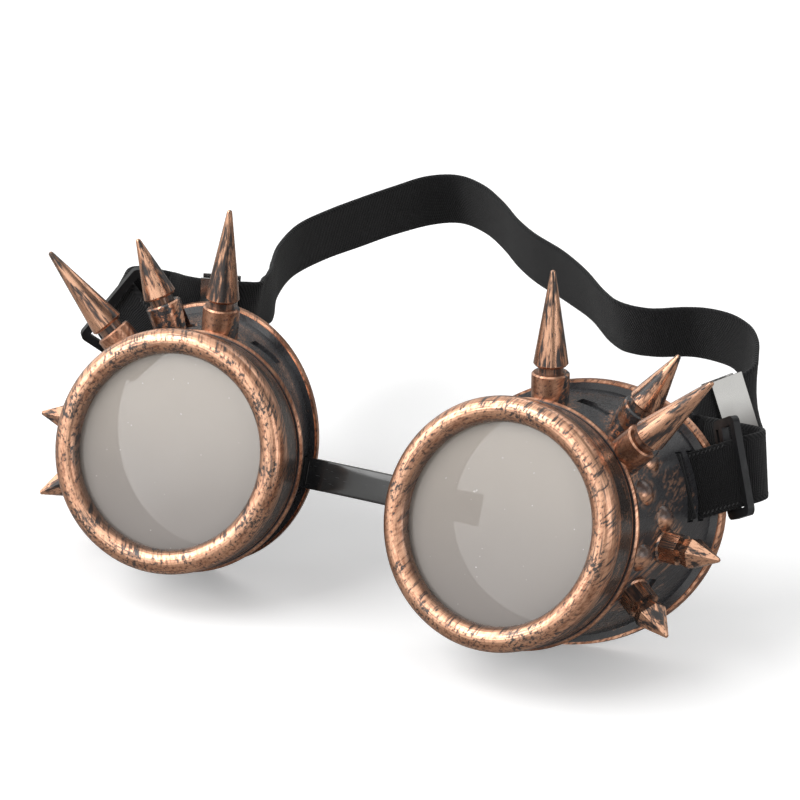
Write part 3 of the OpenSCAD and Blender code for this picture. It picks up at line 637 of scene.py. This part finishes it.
class Fold:
    """The webbing outside one cup: through the slots, over the fold and back."""

    def __init__(self, side):
        self.side = side
        middle_z = rim_at(side, SLOT_EDGE_R) - RIM_T - SLOT_DROP
        self.z = {k: middle_z + k * (SLOT_BAR + SLOT_W) / 2 for k in (-1, 0, 1)}
        self.slot_r = wall_r(SLOT_AT[side], self.z[0])
        self.back = rim_at(side, REAR_EDGE_R) + REAR_GAP + STRAP_T / 2
        self.turn_r = (self.back - self.z[1]) / 2
        self.out = self.slot_r + FOLD_OUT
        self.angle = (SLOT_AT[side] - REAR_AT) / 2
        self.rear_way = np.array([-cos(2 * self.angle), sin(2 * self.angle), 0])
        self.rear_wide = np.array([sin(2 * self.angle), cos(2 * self.angle), 0])
        q = self.creep(pi)
        self.rear = np.array([q[0], q[1], self.back]) + self.rear_way * REAR_L[side]

    def creep(self, a):
        """Start of the fold's cross-section after a turn of a, as it slants upwards."""
        d = np.array([sin(self.angle), cos(self.angle)])
        return np.array([self.out, 0]) + d * self.turn_r * a * tan(self.angle)

    def rear_point(self, s):
        """Row point s past the end of the stretch behind the rim."""
        return by_slot(self.side, self.rear + self.rear_way * s)

    def frames(self):
        """Centre, half width and normal along the webbing, as row points."""
        side, half, got = self.side, STRAP_W / 2, []
        wall = sqrt((self.slot_r - CUP_WALL) ** 2 - (half + PLAY) ** 2)
        inner = wall - INNER_GAP - STRAP_T / 2
        path = [(self.slot_r + LOOP_START, self.z[-1])]
        bends = ((self.z[-1] + BEND_R, pi * 1.5, pi), (self.z[1] - BEND_R, pi, pi / 2))
        for z, first, last in bends:
            path += [(inner + BEND_R + BEND_R * cos(a), z + BEND_R * sin(a))
                     for a in np.linspace(first, last, BEND_POINTS)]
        path += [(self.slot_r + u, self.z[1]) for u in LOOP_FRONT]
        for i, q in enumerate(path):
            d = unit(np.subtract(path[min(i + 1, len(path) - 1)], path[max(i - 1, 0)]))
            got.append((by_slot(side, (q[0], 0, q[1])), slot_dir(side, (0, half, 0)),
                        slot_dir(side, (-d[1], 0, d[0]))))
        wide = np.array([sin(self.angle), cos(self.angle), 0]) * half / cos(self.angle)
        out = np.array([cos(self.angle), -sin(self.angle)])
        for i in range(FOLD_STEPS + 1):
            a = pi * i / FOLD_STEPS
            q = self.creep(a) + out * self.turn_r * sin(a)
            got.append((by_slot(side, (q[0], q[1], self.z[1] + self.turn_r * (1 - cos(a)))),
                        slot_dir(side, wide),
                        slot_dir(side, (-out[0] * sin(a), -out[1] * sin(a), cos(a)))))
        got.append((by_slot(side, self.rear), slot_dir(side, self.rear_wide * half),
                    slot_dir(side, (0, 0, -1))))
        return got


def curve(v, lo, hi):
    """A smooth curve through the points v, heading from lo and towards hi."""
    v = [lo] + v + [hi]
    got = []
    for i in range(1, len(v) - 2):
        a, b, c, d = v[i - 1:i + 3]
        for t in np.arange(ROUTE_STEPS) / ROUTE_STEPS:
            got.append(0.5 * (2 * b + (c - a) * t + (2 * a - 5 * b + 4 * c - d) * t * t
                              + (3 * b - a - 3 * c + d) * t ** 3))
    return got


def strap_frames(folds):
    """The head strap from the wearer's right to the left."""
    right, left = folds[-1], folds[1]
    p = [right.rear_point(1)] + [np.array(q[:3], float) for q in RUN] + [left.rear_point(1)]
    w = ([slot_dir(-1, right.rear_wide)] + [upright(q) for q in RUN]
         + [slot_dir(1, left.rear_wide)])
    line = ([right.rear_point(0)] + curve(p, right.rear_point(-3), left.rear_point(-3))
            + [left.rear_point(1), left.rear_point(0)])
    lean = [w[0]] + curve(w, w[0], w[-1]) + [w[-1], w[-1]]
    start, end, last = slot_dir(-1, right.rear_way), -slot_dir(1, left.rear_way), len(line) - 1
    ends = {0: start, 1: start, last - 1: end, last: end}
    got = []
    for i, c in enumerate(line):
        t = ends[i] if i in ends else unit(line[i + 1] - line[i - 1])
        wide = unit(lean[i] - t * np.dot(lean[i], t))
        got.append((c, wide * STRAP_W / 2, np.cross(t, wide)))
    return got


def band_profile():
    """Across the strap: (share of half width, share of half thickness)."""
    top = [(-1, 0), (-0.985, 0.62), (-0.95, 0.94), (-0.85, 1.03), (-0.8, 0.93), (-0.4, 0.95),
           (0, 0.95), (0.4, 0.95), (0.8, 0.93), (0.85, 1.03), (0.95, 0.94), (0.985, 0.62), (1, 0)]
    return top + [(a, -b) for a, b in reversed(top[1:-1])]


def skin(first, rings, k):
    """Faces round a tube of rings with k points each, from point number first on."""
    faces = []
    for i in range(rings - 1):
        near, far = first + i * k, first + (i + 1) * k
        for j in range(k):
            m = (j + 1) % k
            faces.append((near + j, near + m, far + m, far + j))
    return faces


def make_mesh(name, points, faces, smooth=True):
    mesh = bpy.data.meshes.new(name)
    mesh.from_pydata([tuple(q) for q in points], [], faces)
    mesh.validate()
    mesh.polygons.foreach_set("use_smooth", [smooth] * len(mesh.polygons))
    obj = bpy.data.objects.new(name, mesh)
    bpy.context.collection.objects.link(obj)
    return obj


def sweep_band(name, frames, material, start=0.0, caps=(True, True)):
    """A webbing band through the frames, with its weave coordinates."""
    profile = band_profile()
    k = len(profile)
    points, weave, s = [], [], start
    for i, (c, w, n) in enumerate(frames):
        if i:
            s += float(np.linalg.norm(c - frames[i - 1][0]))
        for a, b in profile:
            points.append(world(c + w * a + n * (STRAP_T / 2 * b)))
            weave.append((s, a * STRAP_W / 2, b))
    faces = skin(0, len(frames), k)
    if caps[0]:
        faces.append(tuple(range(k))[::-1])
    if caps[1]:
        faces.append(tuple((len(frames) - 1) * k + j for j in range(k)))
    obj = make_mesh(name, points, faces)
    mesh = obj.data
    attribute = mesh.attributes.new("weave", "FLOAT_VECTOR", "POINT")
    attribute.data.foreach_set("vector", np.array(weave, np.float32).ravel())
    bm = bmesh.new()
    bm.from_mesh(mesh)
    bmesh.ops.recalc_face_normals(bm, faces=bm.faces)
    bm.to_mesh(mesh)
    bm.free()
    mesh.materials.append(material)
    return obj, s


# Sewing: where it starts and ends on the loop's front, its pitch and distance from the edge
SEW_FROM_WALL, SEW_FROM_FOLD = 0.8, 1.2
STITCH_START, STITCH_STEP, STITCH_EDGE = 0.6, 1.15, 1.1
# One stitch: height above the webbing's middle, slant, half length, radius and arch
STITCH_LIFT, STITCH_SLANT = 0.66, (0.75, 0.66)
STITCH_L, STITCH_R, STITCH_ARCH = 0.52, 0.17, 0.06
STITCH_RINGS, STITCH_SIDES = 7, 6


def stitches(word, start, end, wide, n, material):
    """Small slanting stitches along both edges of the strap's front stretch."""
    along = unit(end - start)
    count = int(np.linalg.norm(end - start) / STITCH_STEP)
    a = unit(along * STITCH_SLANT[0] + wide * STITCH_SLANT[1])
    b = np.cross(n, a)
    points, faces = [], []
    for edge in (STRAP_W / 2 - STITCH_EDGE, -STRAP_W / 2 + STITCH_EDGE):
        for i in range(count):
            at = start + along * (STITCH_START + STITCH_STEP * i)
            middle = at + wide * edge + n * STITCH_LIFT
            first = len(points)
            for u in np.linspace(-1, 1, STITCH_RINGS):
                fat = STITCH_R * sqrt(max(0.0, 1 - u * u * 0.92))
                for v in np.linspace(0, 2 * pi, STITCH_SIDES, endpoint=False):
                    points.append(world(middle + a * u * STITCH_L + b * fat * cos(v)
                                        + n * (fat * sin(v) + STITCH_ARCH * (1 - u * u))))
            faces += skin(first, STITCH_RINGS, STITCH_SIDES)
            last = len(points) - STITCH_SIDES
            faces.append(tuple(first + v for v in range(STITCH_SIDES))[::-1])
            faces.append(tuple(last + v for v in range(STITCH_SIDES)))
    obj = make_mesh(word + "_stitches", points, faces)
    obj.data.materials.append(material)
    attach(obj, word + "_cup_group")


def make_webbing():
    """The loops through the slots with their sewing, and the head strap."""
    ribbed = webbing_material("webbing_ribbed", rib=0.52, slant=0.0, edge=1.5)
    knit = webbing_material("webbing_knit", rib=0.62, slant=0.35, edge=0.9)
    thread = thread_material("thread")
    folds = {side: Fold(side) for side in (1, -1)}
    for word, side in SIDES.items():
        fold = folds[side]
        obj, _ = sweep_band(word + "_loop", fold.frames(), ribbed)
        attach(obj, word + "_cup_group")
        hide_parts(word + "_slot_strap")
        ends = (fold.slot_r + SEW_FROM_WALL, fold.out - SEW_FROM_FOLD)
        start, end = [by_slot(side, (u, 0, fold.z[1])) for u in ends]
        stitches(word, start, end, unit(slot_dir(side, (0, 1, 0))),
                 slot_dir(side, (0, 0, -1)), thread)
    frames = strap_frames(folds)
    last = len(frames) - 1
    s = 0.0
    for piece, lo, hi in zip(STRAP_PIECES, (0,) + STRAP_CUTS, STRAP_CUTS + (last,)):
        name, bodies = piece
        obj, s = sweep_band(name, frames[lo:hi + 1], knit, s, (lo == 0, hi == last))
        if len(bodies) == 1:
            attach(obj, bodies[0])
        else:
            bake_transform(obj)
        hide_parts("head_strap")


def make_bridge(material):
    """Two bowed halves of the flexible strip, each running from the middle towards its own tab.
    """
    bend_x = -wall_r(pi, BRIDGE_Z) - RIM_W - BRIDGE_REACH
    end = np.array([EYE_GAP / 2 + bend_x * cos(TOE) + BRIDGE_Z * sin(TOE),
                    BRIDGE_Z * cos(TOE) - bend_x * sin(TOE)])
    bow = end[0] * tan(TOE) / 2
    h, t, e = BRIDGE_H / 2, BRIDGE_T / 2, BRIDGE_BEVEL
    outline = [(-h, -t + e), (-h + e * 0.3, -t + e * 0.3), (-h + e, -t), (-h * 0.5, -t), (0, -t),
               (h * 0.5, -t), (h - e, -t), (h - e * 0.3, -t + e * 0.3), (h, -t + e)]
    outline += [(a, -b) for a, b in reversed(outline)]
    for word, side in SIDES.items():
        points = []
        for i in range(BRIDGE_STEPS + 1):
            s = i / BRIDGE_STEPS
            x, y = end[0] * s, end[1] + bow * (1 - s * s)
            way = unit(np.array([end[0], -2 * bow * s]))
            for up, out in outline:
                q = np.array([x - way[1] * out, y + way[0] * out])
                points.append(world((side * q[0], q[1] * cos(TILT) + up * sin(TILT),
                                     up * cos(TILT) - q[1] * sin(TILT))))
        faces = [f if side > 0 else f[::-1] for f in skin(0, BRIDGE_STEPS + 1, len(outline))]
        obj = make_mesh(word + "_bridge_half", points, faces)
        obj.data.materials.append(material)
        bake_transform(obj)
        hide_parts("nose_bridge")


# Half the floor's width, in metres
FLOOR_HALF = 3.0

# What shiny surfaces mirror: bright towards the left, the front and above, dark across the
# middle. Each stop is a place along that direction and a brightness
MIRROR_WAY = (0.80, 0.45, -0.40)
MIRROR_START, MIRROR_END = (1.5, 1.5, 1.47, 1), (0.55, 0.55, 0.54, 1)
MIRROR_STOPS = ((0.0, 1.5), (0.36, 1.35), (0.50, 0.22), (0.74, 0.14), (0.84, 0.75))


def make_stage():
    """A pale floor that glows a little to the camera, and more far away."""
    p = Paint("floor")
    ray = p.node("LightPath").outputs
    seen = p.most(ray["Is Camera Ray"], ray["Is Transmission Ray"])
    far = p.node("VectorMath", {0: p.position()}, operation="LENGTH").outputs["Value"]
    shade = p.colour(ray["Is Glossy Ray"], (0.93, 0.93, 0.93), (0.40, 0.38, 0.36))
    diffuse = p.node("BsdfDiffuse", {"Color": shade})
    strength = p.mul(seen, p.step(far, 0.25, 0.9, 0.24, 0.9))
    glow = p.node("Emission", {"Color": (1, 1, 1, 1), "Strength": strength})
    both = p.node("AddShader", {0: diffuse.outputs[0], 1: glow.outputs[0]})
    p.node("OutputMaterial", {0: both.outputs[0]})
    corners = [(-1, -1, 0), (1, -1, 0), (1, 1, 0), (-1, 1, 0)]
    floor = make_mesh("floor", np.array(corners) * FLOOR_HALF, [(0, 1, 2, 3)], False)
    floor.data.materials.append(p.material)


def make_world():
    """White to the camera, even light for the rest, and a ramp for what mirrors it."""
    scene = bpy.context.scene
    scene.view_settings.view_transform = "Standard"
    scene.world = bpy.data.worlds.new("studio")
    p = Nodes(scene.world)
    ray = p.node("LightPath").outputs
    way = p.node("VectorMath", {0: p.node("TexCoord").outputs["Generated"], 1: MIRROR_WAY},
                 operation="DOT_PRODUCT").outputs["Value"]
    ramp = p.node("ValToRGB", {0: p.node("MapRange", {0: way, 1: -1.0}).outputs[0]})
    stops = ramp.color_ramp.elements
    ramp.color_ramp.interpolation = "EASE"
    for at, level in MIRROR_STOPS:
        stops.new(at).color = (level, level, level * 0.98, 1)
    stops[0].color, stops[-1].color = MIRROR_START, MIRROR_END
    soft = p.colour(ray["Is Glossy Ray"], (0.42, 0.42, 0.42), ramp.outputs[0])
    seen = p.most(ray["Is Camera Ray"], ray["Is Transmission Ray"])
    sky = p.node("Background", {"Color": p.colour(seen, soft, (1, 1, 1))})
    p.node("OutputWorld", {0: sky.outputs[0]})


def lamp(name, at, aim, size, watts):
    data = bpy.data.lights.new(name, "AREA")
    data.shape, data.size, data.size_y, data.energy = "RECTANGLE", size[0], size[1], watts
    obj = bpy.data.objects.new(name, data)
    bpy.context.collection.objects.link(obj)
    obj.location = at
    obj.rotation_euler = (Vector(aim) - Vector(at)).to_track_quat("-Z", "Y").to_euler()


def make_lamps():
    aim = (0, -0.03, 0.03)
    lamp("key", (-0.55, -0.55, 0.75), aim, (0.8, 0.8), 9.0)
    lamp("fill", (0.8, -0.35, 0.45), aim, (0.5, 0.6), 2.2)
    lamp("back", (0.1, 0.8, 0.8), aim, (1.2, 0.6), 3.0)


def dress_all(pvc):
    """Gives the CAD nodes that stay in view their materials."""
    plastic = plastic_material("slider_plastic")
    steel, rubber = steel_material("screw_steel"), rubber_material("gasket_rubber")
    for word, side in SIDES.items():
        dress(word + "_ring", ring_material(word + "_ring_copper", side))
        dress(word + "_cup", cup_material(word + "_shell", side))
        for i, kind in enumerate(("tall", "short", "outer")):
            angle, depth = cones(side)[i]
            dress(f"{word}_{kind}_spike", spike_material(
                f"{word}_{kind}_copper", side, angle, depth, SPIKE_LEAN, 0,
                3.7 * i + 11 * side, False))
        for i, kind in enumerate(("upper", "lower")):
            angle, depth, turn, lean = HEXES[i]
            dress(f"{word}_{kind}_hex_spike", spike_material(
                f"{word}_{kind}_hex_copper", side, angle, depth, lean, turn,
                5.3 * i + 17 * side, True))
        dress(word + "_slider", plastic)
        # the clip's place on the route and the strap's upright there set where the nickel's
        # painted reflection of the webbing lies
        at = RUN[CLIP_AT[side]]
        dress(word + "_clip", nickel_material(word + "_nickel", at[:3], upright(at)))
        dress(word + "_spike_screws", steel)
        dress(word + "_gasket", rubber)
        dress(word + "_lens", lens_material(word + "_smoke", side))
        dress(word + "_bridge_tab", pvc)


make_camera()
pvc = pvc_material("bridge_pvc")
dress_all(pvc)
make_webbing()
make_bridge(pvc)
make_stage()
make_world()
make_lamps()
